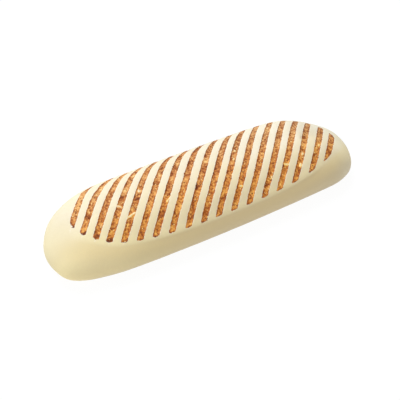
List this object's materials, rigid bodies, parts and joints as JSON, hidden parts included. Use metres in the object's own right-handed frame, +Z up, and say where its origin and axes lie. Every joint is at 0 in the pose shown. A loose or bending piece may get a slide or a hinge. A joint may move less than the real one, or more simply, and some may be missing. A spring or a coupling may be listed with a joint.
{
  "type": "panini roll",
  "caption": "Long flat panini bread roll with a soft pale crust, rounded ends, a flat base and slanting toasted grill marks pressed across its top",
  "frame": {"origin": "centre of the roll's bounding box from above, on the plane it lies on", "axes": "+X along the roll towards its blunter end, +Y across it away from the front, +Z up out of the grilled top"},
  "size_m": [0.2498, 0.073, 0.0389],
  "materials": {
    "soft_crust": "matt, soft pale crust",
    "toasted_mark": "matt, toasted and slightly crumbly"
  },
  "bodies": {
    "root": {"panini_roll": "soft_crust"}
  },
  "joints": []
}
